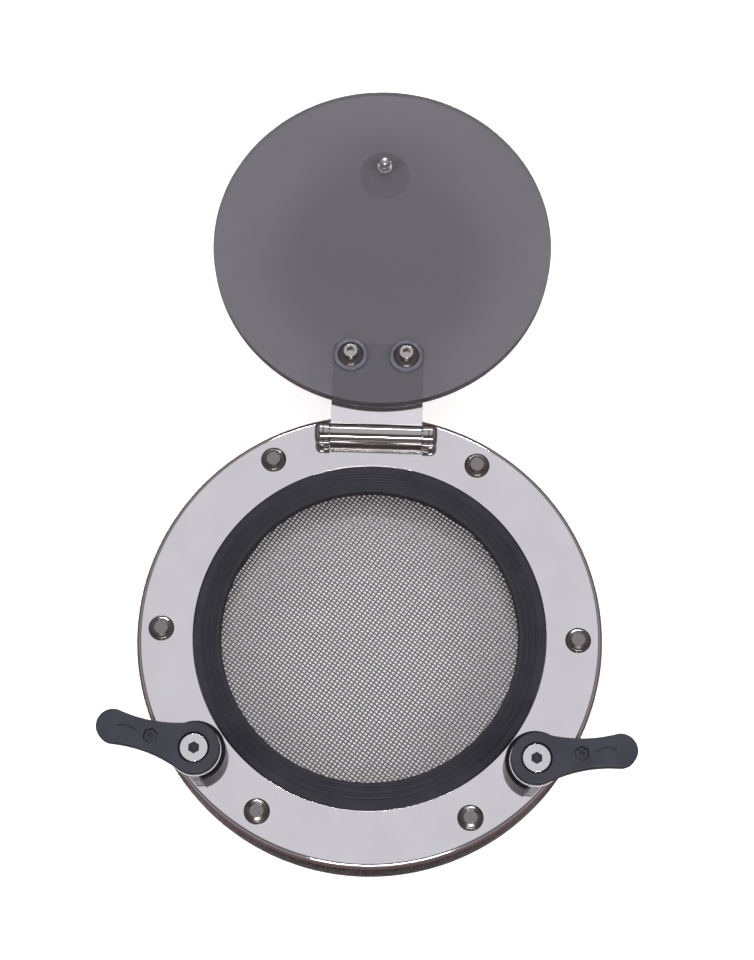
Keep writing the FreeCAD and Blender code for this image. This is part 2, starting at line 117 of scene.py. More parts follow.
class ShaderBench:
    """A material being put together node by node."""

    def __init__(self, name: str) -> None:
        """Start a material with its principled shader.

        Args:
            name: name of the finish.
        """
        self.material = bpy.data.materials.new(f"{name}_finish")
        self.material.use_nodes = True
        self.tree = self.material.node_tree
        self.skin = self.tree.nodes["Principled BSDF"]

    def feed(self, node: bpy.types.Node, **values: object) -> None:
        """Feed a node's inputs, with _ for a space in the name.

        Args:
            node: the node.
            values: a constant, or a socket to wire in, for each input.
        """
        for key, value in values.items():
            into = node.inputs[key.replace("_", " ")]
            if isinstance(value, Socket):
                self.tree.links.new(value, into)
            else:
                into.default_value = value

    def add(self, kind: str, out: str, **values: object) -> Socket:
        """Add a node and feed it.

        Args:
            kind: Blender's name of the node type.
            out: name of the output that is wanted.
            values: its inputs, as feed takes them.

        Returns:
            The output socket.
        """
        made = self.tree.nodes.new(kind)
        self.feed(made, **values)
        return made.outputs[out]

    def surface(self, stretch: Sequence[float] = (1, 1, 1),
                turn: Sequence[float] = (0, 0, 0)) -> Socket:
        """Object coordinates, stretched and turned, in degrees, for textures to read."""
        return self.add("ShaderNodeMapping", "Vector", Scale=stretch,
                        Rotation=[math.radians(a) for a in turn],
                        Vector=self.add("ShaderNodeTexCoord", "Object"))

    def cloud(self, where: Socket, scale: float, detail: float = 3.0,
              rough: float = 0.55) -> Socket:
        """Noise over the surface: features per metre, octaves, weight of the finer ones."""
        return self.add("ShaderNodeTexNoise", "Fac", Vector=where, Scale=scale, Detail=detail,
                        Roughness=rough)

    def spread(self, value: Socket, low: float, high: float, start: float = 0.3,
               stop: float = 0.7) -> Socket:
        """Map a value so that start gives low and stop gives high."""
        return self.add("ShaderNodeMapRange", "Result", Value=value, From_Min=start,
                        From_Max=stop, To_Min=low, To_Max=high)

    def blend(self, value: Socket, first: Sequence[float], second: Sequence[float],
              start: float = 0.3, stop: float = 0.7) -> Socket:
        """Colour that goes from one tone to another.

        Args:
            value: socket that drives the blend.
            first: colour at start.
            second: colour at stop.
            start: value that gives the first colour.
            stop: value that gives the second colour.

        Returns:
            The colour socket.
        """
        ramp = self.tree.nodes.new("ShaderNodeValToRGB")
        for mark, place, tone in zip(ramp.color_ramp.elements, (start, stop), (first, second)):
            mark.position = place
            mark.color = (*tone, 1)
        self.feed(ramp, Fac=value)
        return ramp.outputs["Color"]

    def emboss(self, height: Socket, strength: float, depth: float,
               under: Socket | None = None) -> Socket:
        """Bump from a height whose full step is depth metres, over another bump's normal."""
        below = {} if under is None else {"Normal": under}
        return self.add("ShaderNodeBump", "Normal", Strength=strength, Distance=depth,
                        Height=height, **below)

    def set(self, **values: object) -> None:
        """Feed the principled shader's own inputs."""
        self.feed(self.skin, **values)


def shade(colour: Sequence[float], factor: float) -> tuple[float, ...]:
    """A colour made lighter or darker."""
    return tuple(min(1.0, c * factor) for c in colour)


@dataclass(frozen=True)
class Finish:
    """A finish that makes its own material once."""

    name: str
    slot: str

    def material(self) -> bpy.types.Material:
        """Find the finish's material, or make it on first use.

        Returns:
            The material.
        """
        found = bpy.data.materials.get(f"{self.name}_finish")
        if found is None:
            bench = ShaderBench(self.name)
            self.mix(bench)
            found = bench.material
        return found

    def mix(self, bench: ShaderBench) -> None:
        """Feed the material's shader."""
        raise NotImplementedError


@dataclass(frozen=True)
class Steel(Finish):
    """Stainless steel, from mirror polish to satin."""

    tint: Triple = (0.79, 0.785, 0.81)
    gloss: tuple[float, float] = (0.045, 0.10)
    ripple: float = 0.05
    grain: Triple = (1, 1, 1)
    scratch: float = 0.04

    def mix(self, bench: ShaderBench) -> None:
        """Polish with faint ripples, fine scratches and clouded gloss.

        Args:
            bench: the material to mix.
        """
        plain = bench.surface()
        lines = bench.cloud(bench.surface(self.grain, (0, 0, 17)), 900, 5, 0.7)
        rippled = bench.emboss(bench.cloud(plain, 55, 1), self.ripple, 0.0006)
        bench.set(Base_Color=bench.blend(bench.cloud(plain, 38, 4), shade(self.tint, 0.94),
                                         self.tint),
                  Roughness=bench.spread(lines, *self.gloss),
                  Normal=bench.emboss(lines, self.scratch, 0.00003, rippled), Metallic=1.0)


@dataclass(frozen=True)
class Moulded(Finish):
    """Moulded plastic or rubber with a fine grain."""

    tint: Triple = (0.04, 0.04, 0.045)
    gloss: tuple[float, float] = (0.38, 0.5)
    grain_scale: float = 2600
    grain_depth: float = 0.00004
    grain_strength: float = 0.25
    dust: Triple = (0.10, 0.10, 0.105)
    dusty: float = 0.75
    shine: float = 0.5

    def mix(self, bench: ShaderBench) -> None:
        """Uneven tone, faint dust in patches and a fine moulded grain.

        Args:
            bench: the material to mix.
        """
        where = bench.surface()
        patches = bench.cloud(where, 170, 6, 0.7)
        mixed = bench.tree.nodes.new("ShaderNodeMix")
        mixed.data_type = "RGBA"
        bench.feed(mixed, Factor=bench.spread(patches, 0.0, 0.35, self.dusty, 0.95),
                   A=bench.blend(bench.cloud(where, 60, 4), shade(self.tint, 0.85),
                                 shade(self.tint, 1.15)), B=(*self.dust, 1))
        fine = bench.cloud(where, self.grain_scale, 2)
        bench.set(Base_Color=mixed.outputs["Result"],
                  Roughness=bench.spread(patches, *self.gloss),
                  Normal=bench.emboss(fine, self.grain_strength, self.grain_depth),
                  Specular_IOR_Level=self.shine)


@dataclass(frozen=True)
class SmokedSheet(Finish):
    """Smoked cast acrylic that the ground and the hinge leaf show through."""

    tint: Triple = (0.122, 0.116, 0.135)
    clear: float = 0.58

    def mix(self, bench: ShaderBench) -> None:
        """Tinted sheet, part see-through, with a trace of haze and fine wipe marks.

        Args:
            bench: the material to mix.
        """
        where = bench.surface()
        wiped = bench.cloud(bench.surface((1, 7, 1), (0, 0, 35)), 160, 5, 0.7)
        bench.set(Base_Color=bench.blend(bench.cloud(where, 9, 2), shade(self.tint, 0.97),
                                         shade(self.tint, 1.02)),
                  Roughness=bench.spread(wiped, 0.0, 0.03, 0.45, 0.8),
                  Normal=bench.emboss(bench.cloud(where, 14, 1), 0.03, 0.0004),
                  IOR=1.49, Transmission_Weight=self.clear)


@dataclass(frozen=True)
class MilkyNylon(Finish):
    """Natural nylon, a little translucent."""

    tint: Triple = (0.105, 0.108, 0.142)

    def mix(self, bench: ShaderBench) -> None:
        """Soft waxy plastic with a mottled tone.

        Args:
            bench: the material to mix.
        """
        where = bench.surface()
        bench.set(Base_Color=bench.blend(bench.cloud(where, 240, 4), shade(self.tint, 0.9),
                                         shade(self.tint, 1.08)),
                  Roughness=bench.spread(bench.cloud(where, 700, 3), 0.25, 0.4),
                  Normal=bench.emboss(bench.cloud(where, 1500, 2), 0.1, 0.00003),
                  IOR=1.53, Transmission_Weight=0.35, Coat_Weight=0.2)


MIRROR_STEEL = Steel("polished_stainless", "polished_steel")
SATIN_STEEL = Steel("satin_stainless", "satin_steel", tint=(0.62, 0.615, 0.63),
                    gloss=(0.24, 0.36), ripple=0.02, grain=(1, 9, 1), scratch=0.12)
BOLT_STEEL = Steel("machined_stainless", "satin_steel", tint=(0.78, 0.775, 0.79),
                   gloss=(0.16, 0.26), ripple=0.02, grain=(6, 1, 1), scratch=0.06)
# Polished steel for the barrel nuts, tinted far darker than the other polished steel: the
# darkness is painted shade.
NUT_STEEL_PAINTED_SHADE = Steel("nut_stainless_painted_shade", "polished_steel", tint=(0.28, 0.265, 0.26),
                  gloss=(0.16, 0.26), ripple=0.03)
# Polished steel for the hinge bracket, pin and barrel, tinted darker than the other polished
# steel: the darkness is painted shade.
HINGE_STEEL_PAINTED_SHADE = Steel("hinge_stainless_painted_shade", "polished_steel", tint=(0.50, 0.475, 0.47),
                    gloss=(0.05, 0.1), ripple=0.008)
SCREW_STEEL = Steel("screw_stainless", "satin_steel", tint=(0.56, 0.53, 0.51),
                    gloss=(0.12, 0.22), ripple=0.02, scratch=0.06)
# Polished steel for the hinge leaf, tinted lighter than the other polished steel: the extra
# brightness is a painted highlight.
LEAF_STEEL_PAINTED_HIGHLIGHT = Steel("leaf_stainless_painted_highlight", "polished_steel", tint=(0.93, 0.905, 0.925),
                   gloss=(0.05, 0.1), ripple=0.04)
TRIM_STEEL = Steel("trim_stainless", "polished_steel", tint=(0.72, 0.69, 0.69),
                   gloss=(0.16, 0.30), ripple=0.03)
WIRE_STEEL = Steel("screen_wire", "wire_cloth", tint=(0.25, 0.242, 0.25), gloss=(0.3, 0.42),
                   ripple=0.0, scratch=0.02)
BLACK_STEEL = Steel("blackened_steel", "black_steel", tint=(0.09, 0.09, 0.105),
                    gloss=(0.34, 0.46), ripple=0.02)
SEAL_RUBBER = Moulded("seal_rubber", "seal_rubber", tint=(0.016, 0.016, 0.021),
                      gloss=(0.42, 0.6), dust=(0.04, 0.03, 0.034), dusty=0.6, shine=0.2)
LEVER_NYLON = Moulded("lever_nylon", "lever_plastic", tint=(0.021, 0.022, 0.030),
                      gloss=(0.42, 0.52), dust=(0.045, 0.045, 0.052), shine=0.32)
BLACK_PLASTIC = Moulded("black_plastic", "black_plastic", tint=(0.006, 0.006, 0.007),
                        gloss=(0.24, 0.34), grain_strength=0.1, dust=(0.014, 0.014, 0.016),
                        shine=0.15)
WASHER_PLASTIC = Moulded("washer_plastic", "nylon", tint=(0.42, 0.42, 0.43),
                         gloss=(0.3, 0.42), dust=(0.5, 0.5, 0.5))
CUP_PLASTIC = Moulded("cup_plastic", "dark_plastic", tint=(0.030, 0.026, 0.025),
                      gloss=(0.2, 0.3), dust=(0.05, 0.045, 0.04))
SMOKED_ACRYLIC = SmokedSheet("smoked_acrylic", "smoked_acrylic")
NYLON = MilkyNylon("milky_nylon", "nylon")


# ---- shaping


def placed(name: str, data: bpy.types.ID) -> bpy.types.Object:
    """Put a new object in the scene, at the origin.

    Args:
        name: object name.
        data: its mesh, light or camera.

    Returns:
        The new object.
    """
    made = bpy.data.objects.new(name, data)
    bpy.context.scene.collection.objects.link(made)
    return made


def moved(shape: Shape, place: Matrix) -> Shape:
    """The same shape, moved to its place."""
    bmesh.ops.transform(shape, matrix=place, verts=shape.verts)
    return shape


def piece(name: str, finish: Finish, body: Body, nodes: Iterable[str], *shapes: Shape,
          crease: float = 32.0) -> None:
    """Finish shapes, in millimetres, as one named piece in metres.

    Args:
        name: piece name.
        finish: its finish.
        body: the body it rides on.
        nodes: the frame nodes it stands for.
        shapes: the shapes in it, freed here.
        crease: edges sharper than this many degrees stay crisp.
    """
    bm = bmesh.new()
    for shape in shapes:
        joined(bm, shape)
    bmesh.ops.scale(bm, vec=(1 / METRE,) * 3, verts=bm.verts)
    mesh = bpy.data.meshes.new(name)
    bm.to_mesh(mesh)
    bm.free()
    mesh.shade_smooth()
    mesh.set_sharp_from_angle(angle=math.radians(crease))
    made = placed(name, mesh)
    made.data.materials.append(finish.material())
    even = made.modifiers.new("even_light", "WEIGHTED_NORMAL")
    even.keep_sharp = True
    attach(made, body.value)
    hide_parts(*nodes)
    LOG.info("%s: %d faces on %s", name, len(mesh.polygons), body.value)


def turned(profile: Sequence[Point], steps: int = 96, closed: bool = False) -> Shape:
    """Turn a profile about the Z axis.

    Args:
        profile: (radius, height) points.
        steps: facets round the turn.
        closed: whether the last point joins the first.

    Returns:
        The turned shape.
    """
    bm = bmesh.new()
    verts = [bm.verts.new((r, 0, z)) for r, z in profile]
    edges = [bm.edges.new(pair) for pair in zip(verts, verts[1:])]
    if closed:
        edges.append(bm.edges.new((verts[-1], verts[0])))
    bmesh.ops.spin(bm, geom=verts + edges, cent=(0, 0, 0), axis=(0, 0, 1), angle=2 * math.pi,
                   steps=steps, use_merge=True, use_duplicate=False)
    bmesh.ops.remove_doubles(bm, verts=bm.verts, dist=1e-4)
    bmesh.ops.recalc_face_normals(bm, faces=bm.faces)
    return bm


def rounded(corners: Sequence[Triple], steps: int = 5) -> list[Point]:
    """Round the corners of a profile.

    Args:
        corners: (radius, height, rounding) points of an open profile.
        steps: facets in each rounding.

    Returns:
        The profile with its roundings.
    """
    out: list[Point] = []
    for k, (x, y, r) in enumerate(corners):
        if r <= 0 or k in (0, len(corners) - 1):
            out.append((x, y))
            continue
        here = Vector((x, y))
        back = (Vector(corners[k - 1][:2]) - here).normalized()
        ahead = (Vector(corners[k + 1][:2]) - here).normalized()
        half = back.angle(ahead) / 2
        middle = here + (back + ahead).normalized() * (r / math.sin(half))
        first = here + back * (r / math.tan(half)) - middle
        last = here + ahead * (r / math.tan(half)) - middle
        start = math.atan2(first.y, first.x)
        sweep = math.remainder(math.atan2(last.y, last.x) - start, 2 * math.pi)
        out += arc(tuple(middle), r, start, start + sweep, steps)
    return out


def eased(bm: Shape, edges: Edges, width: float, segments: int) -> Shape:
    """The same shape with the given edges rounded off."""
    bmesh.ops.bevel(bm, geom=edges, offset=width, offset_type="OFFSET", segments=segments,
                    profile=0.5, affect="EDGES", material=-1, clamp_overlap=True)
    return bm


def softened(bm: Shape, width: float, segments: int = 2, limit: float = 30.0,
             only: Callable[[bmesh.types.BMEdge], bool] | None = None) -> Shape:
    """Round off every edge sharper than a limit.

    Args:
        bm: shape to work on.
        width: width of the rounding.
        segments: facets across it.
        limit: angle in degrees.
        only: picks among the sharp edges.

    Returns:
        The same shape.
    """
    return eased(bm, [e for e in bm.edges if len(e.link_faces) == 2
                      and e.calc_face_angle(0) > math.radians(limit)
                      and (only is None or only(e))], width, segments)


def lying_at(height: float) -> Callable[[bmesh.types.BMEdge], bool]:
    """A test that picks the edges lying at one height."""
    return lambda edge: all(abs(v.co.z - height) < 0.1 for v in edge.verts)


def verts_of(geometry: Iterable[object]) -> list[bmesh.types.BMVert]:
    """The vertices among newly made geometry."""
    return [v for v in geometry if isinstance(v, bmesh.types.BMVert)]


def raised(bm: Shape, shift: Sequence[float]) -> None:
    """Extrude all faces of a shape together and move the new ones."""
    grown = bmesh.ops.extrude_face_region(bm, geom=list(bm.faces))["geom"]
    bmesh.ops.translate(bm, vec=shift, verts=verts_of(grown))


def block(low: Sequence[float], high: Sequence[float], ease: float = 0.3) -> Shape:
    """A block between two corners with eased edges.

    Args:
        low: lowest corner.
        high: highest corner.
        ease: rounding of the edges.

    Returns:
        The block.
    """
    bm = bmesh.new()
    low_v, high_v = Vector(low), Vector(high)
    bmesh.ops.create_cube(bm, size=1)
    bmesh.ops.scale(bm, vec=high_v - low_v, verts=bm.verts)
    bmesh.ops.translate(bm, vec=(low_v + high_v) / 2, verts=bm.verts)
    return softened(bm, ease)


def slab(outline: Sequence[Point], low: float, high: float) -> Shape:
    """An upright slab with a given outline.

    Args:
        outline: corner points in order.
        low: height of its underside.
        high: height of its top.

    Returns:
        The slab.
    """
    bm = bmesh.new()
    bm.faces.new([bm.verts.new((x, y, low)) for x, y in outline])
    raised(bm, (0, 0, high - low))
    bmesh.ops.recalc_face_normals(bm, faces=bm.faces)
    return bm


def arc(middle: Point, radius: float, start: float, stop: float, steps: int) -> list[Point]:
    """Points along an arc, its ends included, angles in radians."""
    turn = (stop - start) / steps
    return [(middle[0] + radius * math.cos(start + turn * k),
             middle[1] + radius * math.sin(start + turn * k)) for k in range(steps + 1)]


def ring(middle: Point, radius: float, steps: int) -> list[Point]:
    """Points round a whole circle."""
    return arc(middle, radius, 0, 2 * math.pi, steps)[:-1]


def hexagon(flats: float, turn: float = 0.0, middle: Point = (0, 0)) -> list[Point]:
    """Corners of a hexagon, given its width across flats and its turn in degrees."""
    start = math.radians(turn)
    return arc(middle, flats / math.sqrt(3), start, start + 2 * math.pi, 6)[:-1]


def hex_nut(flats: float, low: float, high: float, turn: float) -> Shape:
    """A hexagon prism with eased corners."""
    return softened(slab(hexagon(flats, turn), low, high), 0.25)


def joined(first: Shape, second: Shape) -> Shape:
    """Join two shapes.

    Args:
        first: shape that takes the other in.
        second: shape to take in, freed here.

    Returns:
        The first shape.
    """
    carrier = bpy.data.meshes.new("carrier")
    second.to_mesh(carrier)
    second.free()
    first.from_mesh(carrier)
    bpy.data.meshes.remove(carrier)
    return first


def merged_cap(bm: Shape, top: float) -> Shape:
    """Make the flat top of a turned shape one face.

    Args:
        bm: the turned shape.
        top: height of its top.

    Returns:
        The same shape.
    """
    flat = [f for f in bm.faces if all(abs(v.co.z - top) < 1e-3 for v in f.verts)]
    bmesh.ops.dissolve_faces(bm, faces=flat, use_verts=False)
    return bm


def loop_of(bm: Shape, points: Sequence[Point], z: float) -> Edges:
    """A closed loop of edges through points at one height."""
    verts = [bm.verts.new((x, y, z)) for x, y in points]
    return [bm.edges.new((a, b)) for a, b in zip(verts, verts[1:] + verts[:1])]


def sink(bm: Shape, rim: Edges, depth: float) -> None:
    """Sink a pocket below a closed rim and close its floor.

    Args:
        bm: shape to work on.
        rim: edges of the rim.
        depth: depth of the pocket.
    """
    grown = bmesh.ops.extrude_edge_only(bm, edges=rim)["geom"]
    verts = verts_of(grown)
    edges = [e for e in grown if isinstance(e, bmesh.types.BMEdge)
             and all(v in verts for v in e.verts)]
    bmesh.ops.translate(bm, vec=(0, 0, -depth), verts=verts)
    bmesh.ops.contextual_create(bm, geom=edges)


def pocketed(bm: Shape, top: float,
             pockets: Sequence[tuple[Sequence[Point], float]]) -> Shape:
    """Cut pockets into a flat top.

    Args:
        bm: shape whose flat top is one face.
        top: height of that face.
        pockets: (rim points, depth) of each pocket.

    Returns:
        The same shape.
    """
    flat = [f for f in bm.faces if f.normal.z > 0.99
            and abs(f.calc_center_median().z - top) < 1e-3]
    cap = max(flat, key=lambda f: f.calc_area())
    rim = list(cap.edges)
    bmesh.ops.delete(bm, geom=[cap], context="FACES_ONLY")
    rims = [loop_of(bm, points, top) for points, _ in pockets]
    bmesh.ops.triangle_fill(bm, use_beauty=True, use_dissolve=False,
                            edges=rim + [e for r in rims for e in r])
    for edges, (_, depth) in zip(rims, pockets):
        sink(bm, edges, depth)
    bmesh.ops.recalc_face_normals(bm, faces=bm.faces)
    return bm


def along_x(at: Sequence[float], flip: bool = False) -> Matrix:
    """Place that lays a turned shape along X, its top towards +X or -X."""
    lean = Matrix.Rotation(math.radians(-90 if flip else 90), 4, "Y")
    return Matrix.Translation(Vector(at)) @ lean


def upright(at: Sequence[float], turn: float = 0.0) -> Matrix:
    """Place that turns a shape about Z, in degrees, and then moves it."""
    return (Matrix.Translation(Vector(at).to_3d())
            @ Matrix.Rotation(math.radians(turn), 4, "Z"))


# ---- frame


@dataclass
class Flanges:
    """The two round flanges, the tube between them and the rings inside it."""

    edge: float = 3.6
    tube_wall: float = 2.7
    facets: int = 288
    carried: dict[str, Finish] = field(default_factory=lambda: {
        "spigot_tube": SATIN_STEEL, "seal_ledge": SATIN_STEEL, "trim_collar": SATIN_STEEL,
        "screen_frame_upper": SATIN_STEEL, "screen_frame_lower": SATIN_STEEL,
        "screen_retaining_ring": BOLT_STEEL, "trim_screws": BOLT_STEEL,
        "hinge_bracket_screws": BOLT_STEEL, "dog_posts": BLACK_STEEL,
        "outer_trim_ring": TRIM_STEEL, "knob_stud": BOLT_STEEL})

    def inner_flange(self) -> None:
        """Flat polished ring with a rounded rim."""
        span = Span.of("inner_flange")
        outer, low = span.size.x / 2, span.low.z
        inner = Span.of("spigot_tube").size.x / 2 - self.tube_wall
        profile = rounded([(inner, low, 0), (inner, 0, 0.5), (outer, 0, self.edge),
                           (outer, low, 0.3), (inner + 0.6, low, 0)], 8)
        piece("inner_flange_ring", MIRROR_STEEL, Body.FRAME, ["inner_flange"],
              turned(profile, self.facets, closed=True))

    def dress_carried(self) -> None:
        """Give the nodes that keep their own shape their finish."""
        for node, finish in self.carried.items():
            part = frame["nodes"][node]
            part.data.materials.clear()
            part.data.materials.append(finish.material())
            LOG.info("%s: kept from the frame", node)

    def build(self) -> None:
        """Build and dress."""
        self.inner_flange()
        self.dress_carried()


@dataclass
class LidSeal:
    """Soft ribbed ring that the closed lid presses on."""

    inner: float = 95.2
    step_in: float = 2.7
    step_up: float = 2.6
    rib_pitch: float = 1.9
    rib_height: float = 0.55
    low_rib: float = 0.55
    rib_start: float = 3.0
    facets: int = 288

    def build(self) -> None:
        """Turn the ribbed section, its ribs tall and low by turns."""
        span = Span.of("lid_seal")
        outer, low, inner = span.size.x / 2, span.low.z, self.inner
        face = span.high.z - self.rib_height
        step, root = low + self.step_up, inner + self.step_in
        corners = [(inner, low + 0.9, 0.6), (inner, face, 1.3)]
        for k in range(int((outer - inner - 2 * self.rib_start) / self.rib_pitch)):
            start = inner + self.rib_start + k * self.rib_pitch
            top = face + self.rib_height * (self.low_rib if k % 2 else 1.0)
            corners += [(start + self.rib_pitch * share, z, ease) for share, z, ease in (
                (0, face, 0.12), (0.3, top, 0.2), (0.62, top, 0.2), (0.9, face, 0.12))]
        corners += [(outer, face, 0.7), (outer, step, 0), (root, step, 0), (root, low, 0),
                    (inner + 0.8, low, 0)]
        piece("ribbed_seal", SEAL_RUBBER, Body.FRAME, ["lid_seal"],
              turned(rounded(corners, 3), self.facets, closed=True), crease=50)


@dataclass
class InsectScreen:
    """Plain woven wire cloth, turned to the hinge line."""

    warp_pitch: float = 2.66
    weft_pitch: float = 2.24
    wire_width: float = 1.22
    wire_height: float = 0.32
    crimp: float = 0.14
    turn: float = -32.6
    reach: float = 100.4
    sides: int = 5
    steps: int = 3

    def wires(self, along: float, across: float, lift: float) -> Shape:
        """Parallel wires along X, crimped over and under the crossing ones.

        Args:
            along: spacing of the crossings along a wire.
            across: spacing from wire to wire.
            lift: crimp height, negative for the set that starts low.

        Returns:
            The wires.
        """
        cloth = bmesh.new()
        lines = int(self.reach / across)
        flatten = Matrix.Diagonal((self.wire_height / self.wire_width, 1, 1, 1))
        for line in range(-lines, lines + 1):
            half = int(math.sqrt(self.reach ** 2 - (line * across) ** 2) / along)
            bm = bmesh.new()
            place = Matrix.Translation((-half * along, line * across, 0)) @ Matrix.Rotation(
                math.pi / 2, 4, "Y") @ flatten
            bmesh.ops.create_circle(bm, segments=self.sides, radius=self.wire_width / 2,
                                    cap_ends=True, matrix=place)
            raised(bm, (2 * half * along, 0, 0))
            long = [e for e in bm.edges if e.calc_length() > along]
            bmesh.ops.subdivide_edges(bm, edges=long, cuts=2 * half * self.steps - 1,
                                      use_grid_fill=True)
            for vert in bm.verts:
                vert.co.z += lift * math.cos(math.pi * (vert.co.x / along + line))
            bmesh.ops.recalc_face_normals(bm, faces=bm.faces)
            joined(cloth, bm)
        return cloth

    def build(self) -> None:
        """Weave both sets and lay them in the screen frame."""
        level = Span.of("insect_screen").middle.z
        for name, turn, along, across, lift in (
                ("screen_warp", self.turn + 90, self.weft_pitch, self.warp_pitch, self.crimp),
                ("screen_weft", self.turn, self.warp_pitch, self.weft_pitch, -self.crimp)):
            piece(name, WIRE_STEEL, Body.FRAME, ["insect_screen"],
                  moved(self.wires(along, across, lift), upright((0, 0, level), turn)), crease=80)


@dataclass
class BarrelNuts:
    """Six low domed nuts on threaded sleeves, with the screws' ends showing in them."""

    count: int = 6
    circle: float = 133.3
    head: float = 8.25
    height: float = 3.0
    sleeve: float = 4.0
    bore: float = 2.6
    screw_end: float = -6.0
    facets: int = 72

    def section(self, end: float) -> list[Point]:
        """Outline of one nut from its crown down to its sleeve's end."""
        crown = rounded([(0, self.height, 0), (4.3, self.height, 0.25), (5.9, 2.25, 0.3),
                         (7.1, 1.85, 0.9), (self.head, 0.6, 0.5), (self.head, 0, 0)], 4)
        return crown + [(self.sleeve, 0), (self.sleeve, end), (self.bore, end),
                        (self.bore, self.screw_end), (0, self.screw_end)]

    def build(self) -> None:
        """Turn the nuts and set them on their circle."""
        end = Span.of("barrel_nuts").low.z
        turns = [2 * math.pi * k / self.count for k in range(self.count)]
        # The nuts' finish carries painted shade in its dark tint.
        piece("barrel_nut_set", NUT_STEEL_PAINTED_SHADE, Body.FRAME, ["barrel_nuts"], *(
            moved(turned(self.section(end), self.facets),
                  upright((self.circle * math.cos(turn), self.circle * math.sin(turn))))
            for turn in turns))


# ---- hinge


def joint_point(name: str) -> list[float]:
    """A point on a joint's line in millimetres, read from the frame's joints."""
    return [c * METRE for j in frame["joints"] if j["name"] == name for c in j["pos_m"]]


@dataclass
class Hinge:
    """Bracket on the frame, pin with domed ends, and the leaf that carries the lid."""

    axis_y: float = field(default_factory=lambda: joint_point("lid_hinge")[1])
    axis_z: float = field(default_factory=lambda: joint_point("lid_hinge")[2])
    barrel: float = 6.8
    ear: float = 7.75
    ear_inside: float = 30.4
    base: float = 1.8
    stop: Point = (7.5, 9.5)
    stop_rise: float = 3.2
    pin: float = 3.0
    bore: float = 3.2
    leaf_root: float = 5.5
    corner: float = 3.0

    def bracket(self) -> None:
        """Base plate, two round-headed ears and the stop for the open leaf."""
        span = Span.of("hinge_bracket")
        half, inside = span.size.x / 2, self.ear_inside
        near, far = (self.axis_y + offset for offset in self.stop)
        stop_top = Span.of("hinge_leaf").low.z + self.stop_rise
        shapes = [block((-half, span.low.y, 0), (half, span.high.y, self.base), 0.35),
                  block((-inside, near, 0.4), (inside, far, stop_top), 0.3)]
        head = arc((0, 0), self.ear, 0, math.pi, 40)
        outline = [(self.ear, -self.axis_z), *head, (-self.ear, -self.axis_z)]
        for shift in (-half, inside):
            ear = softened(slab(outline, 0, half - inside), 0.5, 3)
            bmesh.ops.rotate(ear, cent=(0, 0, 0), verts=ear.verts,
                             matrix=Matrix(((0, 0, 1), (1, 0, 0), (0, 1, 0))))
            shapes.append(moved(ear, upright((shift, self.axis_y, self.axis_z))))
        # Bracket, pin and barrel take the darkened polished steel, which carries painted shade.
        piece("hinge_bracket_plate", HINGE_STEEL_PAINTED_SHADE, Body.FRAME, ["hinge_bracket"], *shapes)

    def pin_ends(self) -> None:
        """Pin with one domed head, and the cap on its other end."""
        half = Span.of("hinge_bracket").size.x / 2
        reach = Span.of("hinge_pin_cap").high.x - half
        line = (self.axis_y, self.axis_z)
        dome = rounded([(0, reach, 0), (self.ear - 0.3, reach, 3.9), (self.ear, 1.2, 0.6),
                        (self.ear, 0.35, 0.3), (self.ear - 0.45, 0, 0), (0, 0, 0)], 8)
        head, cap = (moved(turned(dome, 72), along_x((side * half, *line), side < 0))
                     for side in (-1, 1))
        shaft = turned([(0, 0), (self.pin, 0), (self.pin, 2 * half), (0, 2 * half)], 48)
        piece("pin_with_head", HINGE_STEEL_PAINTED_SHADE, Body.FRAME, ["hinge_pin"], head,
              moved(shaft, along_x((-half, *line))))
        piece("pin_end_cap", HINGE_STEEL_PAINTED_SHADE, Body.FRAME, ["hinge_pin_cap"], cap)

    def leaf(self) -> None:
        """Flat leaf rolled into the barrel at its root."""
        span = Span.of("hinge_leaf")
        low = Span.of("lid_pane").low.z - LEAF_THICK
        half, end = span.size.x / 2, span.high.y
        roll = rounded([(self.bore, 0, 0), (self.barrel, 0, 0.5), (self.barrel, 2 * half, 0.5),
                        (self.bore, 2 * half, 0)], 3)
        piece("hinge_leaf_barrel", HINGE_STEEL_PAINTED_SHADE, Body.LID, ["hinge_leaf"],
              moved(turned(roll, 96, closed=True), along_x((-half, self.axis_y, self.axis_z))))
        wide, root = half - 0.1, self.axis_y + self.leaf_root
        plate = slab([(-wide, root), (wide, root), (wide, end), (-wide, end)],
                     low, low + LEAF_THICK)
        corners = [e for e in plate.edges if abs(e.verts[0].co.z - e.verts[1].co.z) > 1
                   and e.verts[0].co.y > end - 1]
        # The leaf plate's finish carries a painted highlight in its light tint.
        piece("hinge_leaf_plate", LEAF_STEEL_PAINTED_HIGHLIGHT, Body.LID, ["hinge_leaf"],
              softened(eased(plate, corners, self.corner, 8), 0.25))

    def build(self) -> None:
        """Build the hinge."""
        self.bracket()
        self.pin_ends()
        self.leaf()


# ---- lid


